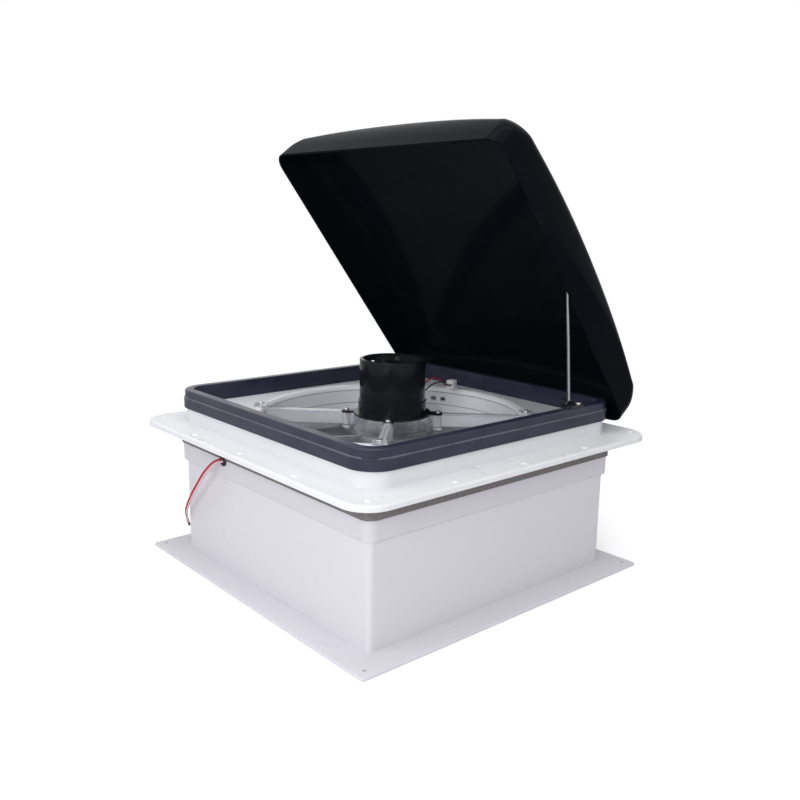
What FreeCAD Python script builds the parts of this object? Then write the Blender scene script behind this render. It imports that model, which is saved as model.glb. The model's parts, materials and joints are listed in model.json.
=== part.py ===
import FreeCAD, Part
import math
import os

# Twelve volt exhaust fan for the roof of a caravan or camper, with its lid propped open.
# Millimetres, +Z up. The origin is the centre of the ceiling trim's underside.
# The lid is hinged along X at the rear (+Y). The stay rod stands at the +X side.

Vec = FreeCAD.Vector
OUT = "parts"

# Ceiling trim: flange against the ceiling and the duct that goes up through the roof
ceiling_half = 206.5
ceiling_thick = 3.0
ceiling_corner = 3.0
ceiling_edge_round = 1.0
duct_half = 175.0
duct_wall = 2.6
duct_corner = 6.0
duct_top = 127.0
ceiling_hole_edge = 11.0
ceiling_hole_r = 2.25

# Roof base: neck round the duct, flange on the roof and collar above it
slip_gap = 0.4
neck_wall = 3.8
neck_bottom = 112.0
neck_edge_round = 2.5
flange_half = 212.7
flange_bottom = 155.6
flange_thick = 6.2
flange_corner = 30.0
flange_edge_round = 2.6
collar_half = 179.5
collar_wall = 3.0
collar_corner = 27.0
collar_top = 194.0
ledge_width = 9.0
ledge_thick = 4.0

# Foam seal round the neck under the flange
foam_thick = 1.9
foam_bottom = 134.5
foam_notch_play = 0.6
root_bead_height = 1.5
root_bead_lap = 0.3

# Countersunk holes round the roof flange
roof_hole_pitch = 97.5
roof_hole_edge = 8.7
roof_hole_corner_edge = 17.7
roof_hole_r = 2.2
roof_sink_r = 4.2
roof_sink_depth = 2.0

# Rim frame that caps the collar
rim_half = 182.6
rim_corner = 30.0
rim_bottom = 178.6
rim_top = 199.5
rim_step_height = 12.2
rim_step = 1.3
rim_inner_half = 173.8
rim_inner_wall = 2.8
rim_top_thick = 3.0
rim_edge_round = 1.8
rim_pad_width = 26.0
rim_pad_height = 9.0
rim_pad_thick = 1.2
rim_pad_x = -40.0
rim_pad_rise = 4.0

# Deck that carries the fan
deck_top = 179.0
deck_thick = 3.0
deck_gap = 0.3
throat_gap = 0.4

# Clear shroud with its bell mouth
throat_r = 150.0
shroud_wall = 2.0
shroud_lip = 7.5
shroud_lip_thick = 1.5
bell_r = 6.5
shroud_bottom = 126.0
shroud_bead = 1.6
slot_width = 7.0
slot_height = 5.0
slot_z = 165.0
slot_angles = (113.0, 118.0)

# Clear spider that carries the motor
arm_count = 4
arm_top = 178.0
arm_bottom = 161.0
arm_thick = 2.6
arm_flange_width = 8.0
arm_flange_thick = 1.6
hub_r = 45.0
hub_wall = 2.4
hub_floor = 158.0
hub_floor_thick = 2.6
hub_vent_count = 8
hub_vent_r = 4.5
hub_vent_line = 28.0
boss_r = 5.0
boss_line = 53.5
foot_length = 16.0
foot_width = 15.0
foot_thick = 2.2
foot_screw_out = 5.0
foot_screw_length = 9.0
boss_hole_depth = 14.0
hub_hole_play = 1.5
small_screw_r = 1.5
small_head_r = 3.0
small_head = 2.0

# Motor
motor_flange_bottom = 176.0
motor_flange_thick = 2.5
ear_r = 5.5
ear_gap = 0.6
motor_screw_length = 12.0
housing_r = 39.4
housing_wall = 2.2
housing_top = 193.0
can_r = 38.2
can_wall = 1.8
can_top = 241.0
can_recess = 6.0
can_plate_thick = 2.4
can_edge_round = 1.2
can_screw_line = 24.0
can_bulge = 2.0
bearing_r = 11.0
bearing_width = 7.0
bearing_seat_wall = 3.0
shaft_r = 4.0
shaft_play = 0.03
shaft_bottom = 113.0
shaft_end_gap = 0.3
shaft_chamfer = 0.6
shaft_hole_play = 2.0
shield_depth = 0.6
shield_outer_r = 9.5
shield_inner_r = 5.7
magnet_thick = 4.5
magnet_arc = 140.0
magnet_gap = 0.8
core_length = 22.0
core_bottom = 197.0
core_slots = 10
core_slot_r = 3.0
coil_height = 4.5
coil_round = 2.0
commutator_r = 10.0
commutator_drop = 6.0
brush_gap = 0.3
brush_width = 7.0
brush_height = 6.0

# Impeller
blade_count = 6
impeller_hub_r = 41.0
impeller_hub_wall = 2.2
impeller_top = 154.0
impeller_hub_height = 27.0
impeller_hub_round = 3.0
impeller_boss_r = 9.0
impeller_boss_rise = 4.0
blade_drop = 6.0
blade_camber = 0.07
blade_tip_gap = 3.5
blade_thick = 2.0
blade_root_pitch = 38.0
blade_tip_pitch = 24.0
blade_root_chord = 44.0
blade_tip_chord = 82.0
nut_across = 13.0
nut_height = 6.5
nut_chamfer = 1.2

# Lid, drawn closed and then turned open about its hinge line
lid_half = 189.0
lid_wall = 2.5
lid_skirt = 17.7
lid_shoulder = 45.0
lid_shoulder_in = 14.0
lid_shoulder_steps = 4
lid_height = 74.5
lid_dome = 19.0
lid_corner = 21.0
lid_top_corner = 158.0
lid_edge_round = 15.0
hinge_y = 191.0
hinge_z = 168.0
lid_above_hinge = 3.5
lid_open_angle = 52.7
hinge_spacing = 220.0
hinge_pin_r = 1.5
knuckle_r = 3.3
knuckle_width = 16.0
ear_width = 5.0
hinge_side_gap = 0.4
hinge_play = 0.05
leaf_thick = 2.4
leaf_height = 17.0
bracket_base_depth = 14.0
bracket_base_thick = 2.2
knuckle_room = 0.5
pin_overhang = 1.2

# Stay rod, its bracket on the rim and its guide rail in the lid
rod_r = 1.75
rod_x = 172.5
rod_foot_y = 106.0
rod_foot_z = 203.4
rod_length = 160.0
rod_rest_angle = 95.6
rod_closed_angle = 177.2
rod_bend_r = 5.0
rod_play = 0.05
rod_side_gap = 0.5
foot_pin_length = 8.0
tip_pin_length = 9.0
stay_ear_thick = 3.0
stay_ear_half = 4.5
stay_eye_wall = 2.2
stay_block_front = 6.6
stay_block_back = 15.4
stay_base_thick = 3.0
stay_swing_room = 5.5
stay_screw_in = 4.5
stay_screw_length = 5.0
stay_block_outer = 181.2
rail_thick = 1.6
rail_x = 176.2
rail_margin = 4.0
rail_slot_play = 0.35
rail_steps = 12
rail_tab_length = 9.0
rail_pad_reach = 6.0

# Wiring on the deck
plug_angle = 108.0
plug_in = 1.0
plug_size = 10.0
plug_height = 9.5
plug_round = 0.8
plug_base_in = 8.0
plug_base_out = 1.5
plug_hole_depth = 3.0
plug_hole_play = 0.1
lead_r = 0.9
lead_pitch = 5.0
lead_level = 184.0
lead_crest = 14.0
lead_crest_step = 3.0
lead_end_run = 9.0

# Supply lead, its grommet and its sleeved ends
supply_r = 1.2
supply_offset = 3.3
grommet_x = -77.5
grommet_z = 133.0
grommet_r = 5.2
grommet_lip_r = 6.8
grommet_lip = 1.2
tip_r = 1.45
tip_length = 12.0
tip_round = 0.5
supply_route = [
    (-78.5, -181.0, 134.5),
    (-79.6, -189.3, 134.0),
    (-85.4, -195.2, 125.4),
    (-95.8, -196.4, 115.2),
    (-110.1, -195.8, 100.6),
    (-130.0, -193.5, 82.2),
    (-149.5, -189.5, 63.8),
    (-170.6, -181.5, 46.2),
    (-190.1, -169.0, 28.8),
]

# Worked out from the sizes above
neck_inner = duct_half + slip_gap
neck_half = neck_inner + neck_wall
foam_top = flange_bottom - root_bead_height
root_bead_half = neck_half + foam_thick + root_bead_lap
flange_top = flange_bottom + flange_thick
ceiling_hole_line = ceiling_half - ceiling_hole_edge
roof_hole_line = flange_half - roof_hole_edge
roof_hole_corner = flange_half - roof_hole_corner_edge
deck_bottom = deck_top - deck_thick
deck_half = collar_half - collar_wall - deck_gap
deck_corner = collar_corner - collar_wall - deck_gap
lip_top = deck_top + shroud_lip_thick
throat_outer = throat_r + shroud_wall
shroud_lip_r = throat_r + shroud_lip
foot_screw_line = throat_r + foot_screw_out
plug_line = throat_r - plug_in
motor_flange_top = motor_flange_bottom + motor_flange_thick
plate_top = can_top - can_recess
plate_bottom = plate_top - can_plate_thick
blade_tip_r = throat_r - blade_tip_gap
lid_base = hinge_z + lid_above_hinge


def rounded_square(half, radius, z):
    """Wire of a square with round corners, centred on the Z axis."""
    flat = half - radius
    bow = radius * math.sqrt(0.5)
    corners = [(1, 1), (-1, 1), (-1, -1), (1, -1)]
    edges = []
    for index, (sx, sy) in enumerate(corners):
        along_x = Vec(sx * half, sy * flat, z)
        along_y = Vec(sx * flat, sy * half, z)
        middle = Vec(sx * (flat + bow), sy * (flat + bow), z)
        start, end = (along_x, along_y) if sx * sy > 0 else (along_y, along_x)
        edges.append(Part.Arc(start, middle, end).toShape())
        nx, ny = corners[(index + 1) % 4]
        following = Vec(nx * flat, ny * half, z) if nx * ny < 0 else Vec(nx * half, ny * flat, z)
        edges.append(Part.LineSegment(end, following).toShape())
    return Part.Wire(edges)


def square_block(half, radius, bottom, top):
    """Solid square block with round upright corners."""
    return Part.Face(rounded_square(half, radius, bottom)).extrude(Vec(0, 0, top - bottom))


def square_tube(outer, outer_r, inner, inner_r, bottom, top):
    """Square tube with round corners."""
    block = square_block(outer, outer_r, bottom, top)
    return block.cut(square_block(inner, inner_r, bottom - 1, top + 1))


def rod_z(radius, bottom, top, x=0.0, y=0.0):
    """Upright cylinder."""
    return Part.makeCylinder(radius, top - bottom, Vec(x, y, bottom))


def rod_along_x(radius, start, end, y, z):
    """Cylinder that lies along X."""
    return Part.makeCylinder(radius, end - start, Vec(start, y, z), Vec(1, 0, 0))


def tube_z(outer, inner, bottom, top, x=0.0, y=0.0):
    """Upright round tube."""
    return rod_z(outer, bottom, top, x, y).cut(rod_z(inner, bottom - 1, top + 1, x, y))


def box(x0, x1, y0, y1, z0, z1):
    """Box between two corners."""
    return Part.makeBox(x1 - x0, y1 - y0, z1 - z0, Vec(x0, y0, z0))


def polar(radius, angle, z=0.0):
    """Point at a radius and an angle in degrees."""
    return Vec(radius * math.cos(math.radians(angle)), radius * math.sin(math.radians(angle)), z)


def turned(shape, angle, centre=Vec(0, 0, 0), axis=Vec(0, 0, 1)):
    """Copy of a shape, turned about an axis."""
    copy = shape.copy()
    copy.rotate(centre, axis, angle)
    return copy


def fuse_all(shapes):
    """One solid out of several that overlap."""
    first = shapes[0]
    rest = shapes[1:]
    return first.fuse(rest).removeSplitter() if rest else first


def edges_at(shape, test):
    """Edges of a shape whose whole length passes a test on its box."""
    return [edge for edge in shape.Edges if test(edge.BoundBox)]


def lid_turn(shape):
    """A piece drawn on the closed lid, turned open about the hinge line."""
    return turned(shape, -lid_open_angle, Vec(0, hinge_y, hinge_z), Vec(1, 0, 0))


def save(name, shape):
    """Write one node."""
    shape.exportStep(os.path.join(OUT, name + ".step"))
    print(name, len(shape.Solids), "solids", round(shape.Volume / 1000.0, 2), "cm3")


def screw(x, y, seat, length, shank_r, head_r, head):
    """Pan head screw, its head sitting on a seat, with a cross recess."""
    shank = rod_z(shank_r, seat - length, seat, x, y)
    cap = rod_z(head_r, seat, seat + head, x, y)
    rim_edges = edges_at(cap, lambda b: b.ZMin > seat + head - 0.01)
    cap = cap.makeFillet(head * 0.45, rim_edges)
    recess_half = head_r * 0.6
    recess_wide = head_r * 0.15
    recess_floor = seat + head * 0.5
    over = seat + head + 1
    bar_a = box(x - recess_half, x + recess_half, y - recess_wide, y + recess_wide, recess_floor, over)
    bar_b = box(x - recess_wide, x + recess_wide, y - recess_half, y + recess_half, recess_floor, over)
    return shank.fuse(cap).cut(bar_a).cut(bar_b)


def ceiling_trim():
    """Ceiling flange with the square duct and its corner holes."""
    plate = square_block(ceiling_half, ceiling_corner, 0, ceiling_thick)
    top_edges = edges_at(plate, lambda b: b.ZMin > ceiling_thick - 0.01)
    plate = plate.makeFillet(ceiling_edge_round, top_edges)
    duct = square_block(duct_half, duct_corner, 0, duct_top)
    bore_half = duct_half - duct_wall
    body = plate.fuse(duct).cut(square_block(bore_half, duct_corner - duct_wall, -1, duct_top + 1))
    for sx in (-1, 1):
        for sy in (-1, 1):
            hole = rod_z(ceiling_hole_r, -1, ceiling_thick + 1, sx * ceiling_hole_line, sy * ceiling_hole_line)
            body = body.cut(hole)
    return body.removeSplitter()


def roof_hole_places():
    """Places of the holes round the roof flange, corner ones nearer the middle."""
    places = []
    for side in range(4):
        for step in (-1, 0, 1):
            point = turned(Part.Vertex(roof_hole_line, step * roof_hole_pitch, 0), 90 * side).Point
            places.append((point.x, point.y))
        corner = turned(Part.Vertex(roof_hole_corner, roof_hole_corner, 0), 90 * side).Point
        places.append((corner.x, corner.y))
    return places


def roof_base():
    """Neck, roof flange and collar in one moulding, with a root bead and the ledge under the deck."""
    neck_corner = duct_corner + slip_gap + neck_wall
    neck = square_block(neck_half, neck_corner, neck_bottom, flange_top)
    neck = neck.makeFillet(neck_edge_round, edges_at(neck, lambda b: b.ZMax < neck_bottom + 0.01))
    flange = square_block(flange_half, flange_corner, flange_bottom, flange_top)
    flange = flange.makeFillet(flange_edge_round, edges_at(flange, lambda b: b.ZMin > flange_top - 0.01))
    collar = square_block(collar_half, collar_corner, flange_bottom, collar_top)
    bead_corner = neck_corner + foam_thick + root_bead_lap
    root_bead = square_block(root_bead_half, bead_corner, foam_top, flange_top)
    body = neck.fuse([flange, collar, root_bead])
    neck_bore = square_block(neck_inner, duct_corner + slip_gap, neck_bottom - 1, flange_bottom)
    inside = collar_half - collar_wall
    inside_corner = collar_corner - collar_wall
    ledge_bottom = deck_bottom - ledge_thick
    throat_room = square_block(inside, inside_corner, flange_bottom - 0.01, ledge_bottom)
    ledge_hole = square_block(inside - ledge_width, inside_corner, ledge_bottom - 1, deck_bottom + 1)
    above = square_block(inside, inside_corner, deck_bottom, collar_top + 1)
    body = body.cut([neck_bore, throat_room, ledge_hole, above])
    for x, y in roof_hole_places():
        body = body.cut(rod_z(roof_hole_r, flange_bottom - 1, flange_top + 1, x, y))
        sink_place = Vec(x, y, flange_top - roof_sink_depth)
        body = body.cut(Part.makeCone(roof_hole_r, roof_sink_r, roof_sink_depth, sink_place))
    entry = Vec(grommet_x, -neck_half - neck_wall, grommet_z)
    body = body.cut(Part.makeCylinder(grommet_r, 3 * neck_wall, entry, Vec(0, 1, 0)))
    return body.removeSplitter()


def foam_seal():
    """Foam strip wrapped round the neck, up against the flange's root bead, notched over the grommet."""
    corner = duct_corner + slip_gap + neck_wall
    strip = square_tube(neck_half + foam_thick, corner + foam_thick, neck_half, corner, foam_bottom, foam_top)
    notch_start = Vec(grommet_x, -neck_half - 2 * foam_thick, grommet_z)
    notch = Part.makeCylinder(grommet_lip_r + foam_notch_play, 4 * foam_thick, notch_start, Vec(0, 1, 0))
    return strip.cut(notch)


def rim_frame():
    """Dark frame that caps the collar, stepped on the outside and open below."""
    step_top = rim_bottom + rim_step_height
    lower = square_block(rim_half, rim_corner, rim_bottom, step_top)
    lower = lower.makeFillet(rim_step * 0.45, edges_at(lower, lambda b: b.ZMin > step_top - 0.01))
    upper = square_block(rim_half - rim_step, rim_corner - rim_step, rim_bottom, rim_top)
    upper = upper.makeFillet(rim_edge_round, edges_at(upper, lambda b: b.ZMin > rim_top - 0.01))
    body = lower.fuse(upper)
    well_half = rim_inner_half - rim_inner_wall
    body = body.cut(square_block(well_half, rim_corner - (rim_half - well_half), rim_bottom - 1, rim_top + 1))
    room_outer = collar_half + deck_gap
    room_inner = rim_inner_half
    inner_corner = rim_corner - (rim_half - room_inner)
    channel = square_tube(room_outer, collar_corner + deck_gap, room_inner, inner_corner,
                          rim_bottom - 1, rim_top - rim_top_thick)
    deck_room = square_block(room_inner + 1, inner_corner + 1, rim_bottom - 1, deck_top)
    screw_x, screw_y = stay_screw_place()
    screw_hole = rod_z(small_screw_r, rim_top - rim_top_thick - 1, rim_top + 1, screw_x, screw_y)
    body = body.cut([channel, deck_room, screw_hole])
    pad_bottom = deck_top + rim_pad_rise
    pad = box(rim_pad_x, rim_pad_x + rim_pad_width, well_half - rim_pad_thick, well_half + rim_inner_wall / 2,
              pad_bottom, pad_bottom + rim_pad_height)
    return body.fuse(pad).removeSplitter()


def fan_deck():
    """Square plate with the round fan opening."""
    plate = square_block(deck_half, deck_corner, deck_bottom, deck_top)
    plate = plate.cut(rod_z(throat_outer + throat_gap, deck_bottom - 1, deck_top + 1))
    for index in range(arm_count):
        spot = polar(foot_screw_line, 45 + index * 360 / arm_count)
        plate = plate.cut(rod_z(small_screw_r, deck_bottom - 1, deck_top + 1, spot.x, spot.y))
    return plate


def shroud_ring():
    """Clear throat with a bell mouth, a bottom bead and lugs for the spider's feet."""
    outer_top = Vec(shroud_lip_r, 0, lip_top)
    outer_low = Vec(shroud_lip_r, 0, deck_top)
    inner_lip = Vec(throat_r + bell_r, 0, lip_top)
    bell_end = Vec(throat_r, 0, lip_top - bell_r)
    bow = bell_r * (1 - math.sqrt(0.5))
    bell_mid = Vec(throat_r + bow, 0, lip_top - bow)
    foot_in = Vec(throat_r, 0, shroud_bottom)
    foot_out = Vec(throat_outer + shroud_bead, 0, shroud_bottom)
    bead_top = Vec(throat_outer, 0, shroud_bottom + 2 * shroud_bead)
    bead_side = Vec(throat_outer + shroud_bead, 0, shroud_bottom + shroud_bead)
    under_lip = Vec(throat_outer, 0, deck_top)
    lines = [(outer_low, outer_top), (outer_top, inner_lip), (bell_end, foot_in), (foot_in, foot_out),
             (foot_out, bead_side), (bead_side, bead_top), (bead_top, under_lip), (under_lip, outer_low)]
    edges = [Part.LineSegment(a, b).toShape() for a, b in lines]
    edges.insert(2, Part.Arc(inner_lip, bell_mid, bell_end).toShape())
    ring = Part.Face(Part.Wire(Part.__sortEdges__(edges))).revolve(Vec(0, 0, 0), Vec(0, 0, 1), 360)
    lugs = []
    for index in range(arm_count):
        angle = 45 + index * 360 / arm_count
        lug = rod_z(foot_width / 2, deck_top, lip_top, foot_screw_line, 0)
        lug = lug.cut(rod_z(throat_r + bell_r, deck_top - 1, lip_top + 1))
        lugs.append(turned(lug, angle))
    ring = ring.fuse(lugs)
    for index in range(arm_count):
        spot = polar(foot_screw_line, 45 + index * 360 / arm_count)
        ring = ring.cut(rod_z(small_screw_r, deck_top - 1, lip_top + 1, spot.x, spot.y))
    for angle in slot_angles:
        slot = box(throat_r - 2, throat_outer + 2, -slot_width / 2, slot_width / 2, slot_z - slot_height / 2,
                   slot_z + slot_height / 2)
        ring = ring.cut(turned(slot, angle))
    return ring.removeSplitter()


def motor_spider():
    """Clear cup on four arms, with bosses for the motor and feet on the shroud."""
    cup = rod_z(hub_r, hub_floor, motor_flange_bottom)
    bore = rod_z(hub_r - hub_wall, hub_floor + hub_floor_thick, motor_flange_bottom + 1)
    arms = []
    bosses = []
    cuts = [bore, rod_z(impeller_boss_r + hub_hole_play, hub_floor - 1, arm_top)]
    cuts.append(rod_z(boss_line + ear_r + ear_gap, motor_flange_bottom, arm_top + 1))
    for index in range(arm_count):
        angle = 45 + index * 360 / arm_count
        web = box(hub_r - hub_wall, throat_r - throat_gap, -arm_thick / 2, arm_thick / 2, arm_bottom, arm_top)
        cap_bar = box(boss_line, throat_r - throat_gap, -arm_flange_width / 2, arm_flange_width / 2,
                      arm_top - arm_flange_thick, arm_top)
        riser = box(throat_r - throat_gap - foot_thick, throat_r - throat_gap, -foot_width / 4, foot_width / 4,
                    arm_top - arm_flange_thick, lip_top + foot_thick)
        foot = box(throat_r - throat_gap - foot_thick, throat_r - throat_gap - foot_thick + foot_length,
                   -foot_width / 2, foot_width / 2, lip_top, lip_top + foot_thick)
        corner_edges = edges_at(foot, lambda b: b.XMin > throat_r and b.ZLength > foot_thick / 2)
        foot = foot.makeFillet(foot_width * 0.3, corner_edges)
        arm = fuse_all([web, cap_bar, riser, foot])
        arms.append(turned(arm, angle))
        spot = polar(boss_line, angle)
        boss = rod_z(boss_r, hub_floor, motor_flange_bottom, spot.x, spot.y)
        bosses.append(boss)
        hole_floor = motor_flange_bottom - boss_hole_depth
        cuts.append(rod_z(small_screw_r, hole_floor, arm_top + 1, spot.x, spot.y))
        screw_spot = polar(foot_screw_line, angle)
        cuts.append(rod_z(small_screw_r, deck_top, arm_top + 10, screw_spot.x, screw_spot.y))
    for index in range(hub_vent_count):
        spot = polar(hub_vent_line, 22.5 + index * 360 / hub_vent_count)
        cuts.append(rod_z(hub_vent_r, hub_floor - 1, hub_floor + hub_floor_thick + 1, spot.x, spot.y))
    return cup.fuse(arms + bosses).cut(cuts).removeSplitter()


def spider_screws():
    """Screws that hold the spider's feet and the shroud to the deck."""
    screws = []
    for index in range(arm_count):
        spot = polar(foot_screw_line, 45 + index * 360 / arm_count)
        seat = lip_top + foot_thick
        screws.append(screw(spot.x, spot.y, seat, foot_screw_length, small_screw_r, small_head_r, small_head))
    return Part.makeCompound(screws)


def motor_screws():
    """Screws that hold the motor's ears to the bosses."""
    screws = []
    for index in range(arm_count):
        spot = polar(boss_line, 45 + index * 360 / arm_count)
        seat = motor_flange_top
        screws.append(screw(spot.x, spot.y, seat, motor_screw_length, small_screw_r, small_head_r, small_head))
    return Part.makeCompound(screws)


def motor_housing():
    """Lower half of the motor's case, with mounting ears and the lower bearing seat."""
    flange = rod_z(hub_r, motor_flange_bottom, motor_flange_top)
    ears = []
    holes = []
    for index in range(arm_count):
        angle = 45 + index * 360 / arm_count
        spot = polar(boss_line, angle)
        ear = rod_z(ear_r, motor_flange_bottom, motor_flange_top, spot.x, spot.y)
        neck = turned(box(hub_r - 4, boss_line, -ear_r, ear_r, motor_flange_bottom, motor_flange_top), angle)
        ears.append(ear.fuse(neck))
        holes.append(rod_z(small_screw_r, motor_flange_bottom - 1, motor_flange_top + 1, spot.x, spot.y))
    case = rod_z(housing_r, motor_flange_bottom, housing_top)
    inside = rod_z(housing_r - housing_wall, motor_flange_top, housing_top + 1)
    seat = rod_z(bearing_r + bearing_seat_wall, motor_flange_bottom, motor_flange_top + bearing_width)
    body = flange.fuse(ears + [case]).cut([inside] + holes).fuse(seat)
    body = body.cut(rod_z(bearing_r, motor_flange_top, motor_flange_top + bearing_width + 1))
    body = body.cut(rod_z(shaft_r + shaft_hole_play, motor_flange_bottom - 1, motor_flange_top + 1))
    return body.removeSplitter()


def motor_can():
    """Upper half of the motor's case, with a recessed top plate and a bearing seat."""
    case = rod_z(can_r, housing_top, can_top)
    case = case.makeFillet(can_edge_round, edges_at(case, lambda b: b.ZMin > can_top - 0.01))
    body = case.cut(rod_z(can_r - can_wall, housing_top - 1, plate_bottom))
    body = body.cut(rod_z(can_r - 2 * can_wall, plate_top, can_top + 1))
    seat = rod_z(bearing_r + bearing_seat_wall, plate_bottom - bearing_width, plate_bottom)
    body = body.fuse(seat).cut(rod_z(bearing_r, plate_bottom - bearing_width - 1, plate_bottom))
    bulge = rod_z(bearing_r, plate_top, plate_top + can_bulge)
    bulge = bulge.makeFillet(can_bulge * 0.4, edges_at(bulge, lambda b: b.ZMin > plate_top + can_bulge - 0.01))
    body = body.fuse(bulge)
    for x, y in can_screw_places():
        body = body.cut(rod_z(small_screw_r, plate_bottom - 1, plate_top + 1, x, y))
    return body.removeSplitter()


def can_screw_places():
    """Places of the two screws in the motor's top plate."""
    spot = polar(can_screw_line, 30)
    return [(spot.x, spot.y), (-spot.x, -spot.y)]


def can_screws():
    """Two screws in the recessed top of the motor."""
    screws = []
    for x, y in can_screw_places():
        screws.append(screw(x, y, plate_top, can_plate_thick, small_screw_r, small_head_r, small_head))
    return Part.makeCompound(screws)


def bearing(bottom):
    """Ball bearing drawn as its two rings, shield and all in one turned piece."""
    ring = tube_z(bearing_r, shaft_r + shaft_play, bottom, bottom + bearing_width)
    for level in (bottom, bottom + bearing_width - shield_depth):
        ring = ring.cut(tube_z(shield_outer_r, shield_inner_r, level - 0.001, level + shield_depth + 0.001))
    return ring


def stator_magnets():
    """Two curved magnets inside the can."""
    outer = can_r - can_wall
    inner = outer - magnet_thick
    magnets = []
    top = core_bottom + core_length
    for side in (0, 180):
        profile = box(inner, outer, -0.01, 0.01, core_bottom, top)
        face = [f for f in profile.Faces if abs(f.CenterOfMass.y + 0.01) < 0.001][0]
        magnet = face.revolve(Vec(0, 0, 0), Vec(0, 0, 1), magnet_arc)
        magnets.append(turned(magnet, side - magnet_arc / 2))
    return Part.makeCompound(magnets)


def armature():
    """Slotted iron core with the coil ends above and below it."""
    radius = can_r - can_wall - magnet_thick - magnet_gap
    top = core_bottom + core_length
    core = rod_z(radius, core_bottom, top)
    for index in range(core_slots):
        spot = polar(radius - core_slot_r * 0.7, index * 360 / core_slots)
        core = core.cut(rod_z(core_slot_r, core_bottom - 1, top + 1, spot.x, spot.y))
    coil_r = radius - 2 * core_slot_r
    lower = rod_z(coil_r, core_bottom - coil_height, core_bottom)
    upper = rod_z(coil_r, top, top + coil_height)
    lower = lower.makeFillet(coil_round, edges_at(lower, lambda b: b.ZMax < core_bottom - coil_height + 0.01))
    upper = upper.makeFillet(coil_round, edges_at(upper, lambda b: b.ZMin > top + coil_height - 0.01))
    return core.fuse([lower, upper]).cut(rod_z(shaft_r, core_bottom - coil_height - 1, top + coil_height + 1))


def commutator():
    """Copper collar under the core, where the brushes run."""
    top = core_bottom - coil_height
    return tube_z(commutator_r, shaft_r, top - commutator_drop, top)


def brush_middle():
    """Height of the middle of the brushes."""
    return core_bottom - coil_height - commutator_drop / 2


def motor_brushes():
    """Two carbon brushes in holders that reach in from the case."""
    middle = brush_middle()
    brushes = []
    for side in (0, 180):
        brush = box(commutator_r + brush_gap, housing_r - housing_wall, -brush_width / 2, brush_width / 2,
                    middle - brush_height / 2, middle + brush_height / 2)
        brushes.append(turned(brush.common(rod_z(housing_r - housing_wall, 0, can_top)), side))
    return Part.makeCompound(brushes)


def motor_shaft():
    """Shaft from the upper bearing down to the nut under the impeller, threaded end plain."""
    shaft = rod_z(shaft_r, shaft_bottom, plate_bottom - shaft_end_gap)
    return shaft.makeChamfer(shaft_chamfer, edges_at(shaft, lambda b: b.ZMax < shaft_bottom + 0.01))


def blade_section(radius, chord, pitch, middle):
    """Thin bent blade section, square to the radius, leading edge raised."""
    half = chord / 2
    camber = chord * blade_camber
    slope = math.radians(pitch)

    def place(along, lift):
        y = along * math.cos(slope) - lift * math.sin(slope)
        z = along * math.sin(slope) + lift * math.cos(slope)
        return Vec(radius, y, middle + z)

    under = Part.Arc(place(-half, 0), place(0, camber), place(half, 0)).toShape()
    top = camber + blade_thick
    over = Part.Arc(place(half, blade_thick), place(0, top), place(-half, blade_thick)).toShape()
    nose = Part.LineSegment(place(half, 0), place(half, blade_thick)).toShape()
    tail = Part.LineSegment(place(-half, blade_thick), place(-half, 0)).toShape()
    return Part.Wire([under, nose, over, tail])


def impeller():
    """Clear six-bladed impeller with an open-bottomed hub."""
    hub_bottom = impeller_top - impeller_hub_height
    middle = impeller_top - impeller_hub_height / 2
    hub = rod_z(impeller_hub_r, hub_bottom, impeller_top)
    hub = hub.makeFillet(impeller_hub_round, edges_at(hub, lambda b: b.ZMin > impeller_top - 0.01))
    hollow = rod_z(impeller_hub_r - impeller_hub_wall, hub_bottom - 1, impeller_top - impeller_hub_wall)
    blades = []
    root_r = impeller_hub_r - impeller_hub_wall - blade_thick / 2
    over_r = blade_tip_r + 4 * blade_thick
    for index in range(blade_count):
        sections = [blade_section(root_r, blade_root_chord, blade_root_pitch, middle),
                    blade_section((root_r + blade_tip_r) / 2, (blade_root_chord + blade_tip_chord) / 2,
                                  (blade_root_pitch + blade_tip_pitch) / 2, middle),
                    blade_section(over_r, blade_tip_chord, blade_tip_pitch, middle)]
        blade = Part.makeLoft(sections, True, False)
        blades.append(turned(blade, index * 360 / blade_count))
    sweep = rod_z(blade_tip_r, hub_bottom - blade_drop, impeller_top)
    body = hub.fuse(blades).common(sweep)
    body = body.cut(hollow)
    boss = rod_z(impeller_boss_r, hub_bottom + impeller_boss_rise, impeller_top - impeller_hub_wall / 2)
    body = body.fuse(boss).cut(rod_z(shaft_r, shaft_bottom, impeller_top + 1))
    return body.removeSplitter()


def shaft_nut():
    """Hexagonal nut under the impeller's boss."""
    top = impeller_top - impeller_hub_height + impeller_boss_rise
    corner_r = nut_across / math.sqrt(3)
    points = [polar(corner_r, 60 * index, top - nut_height) for index in range(7)]
    prism = Part.Face(Part.makePolygon(points)).extrude(Vec(0, 0, nut_height))
    dome = Part.makeCone(corner_r - nut_chamfer, corner_r - nut_chamfer + 2 * nut_height, nut_height,
                         Vec(0, 0, top - nut_height))
    return prism.common(dome).cut(rod_z(shaft_r, top - nut_height - 1, top + 1))


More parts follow.
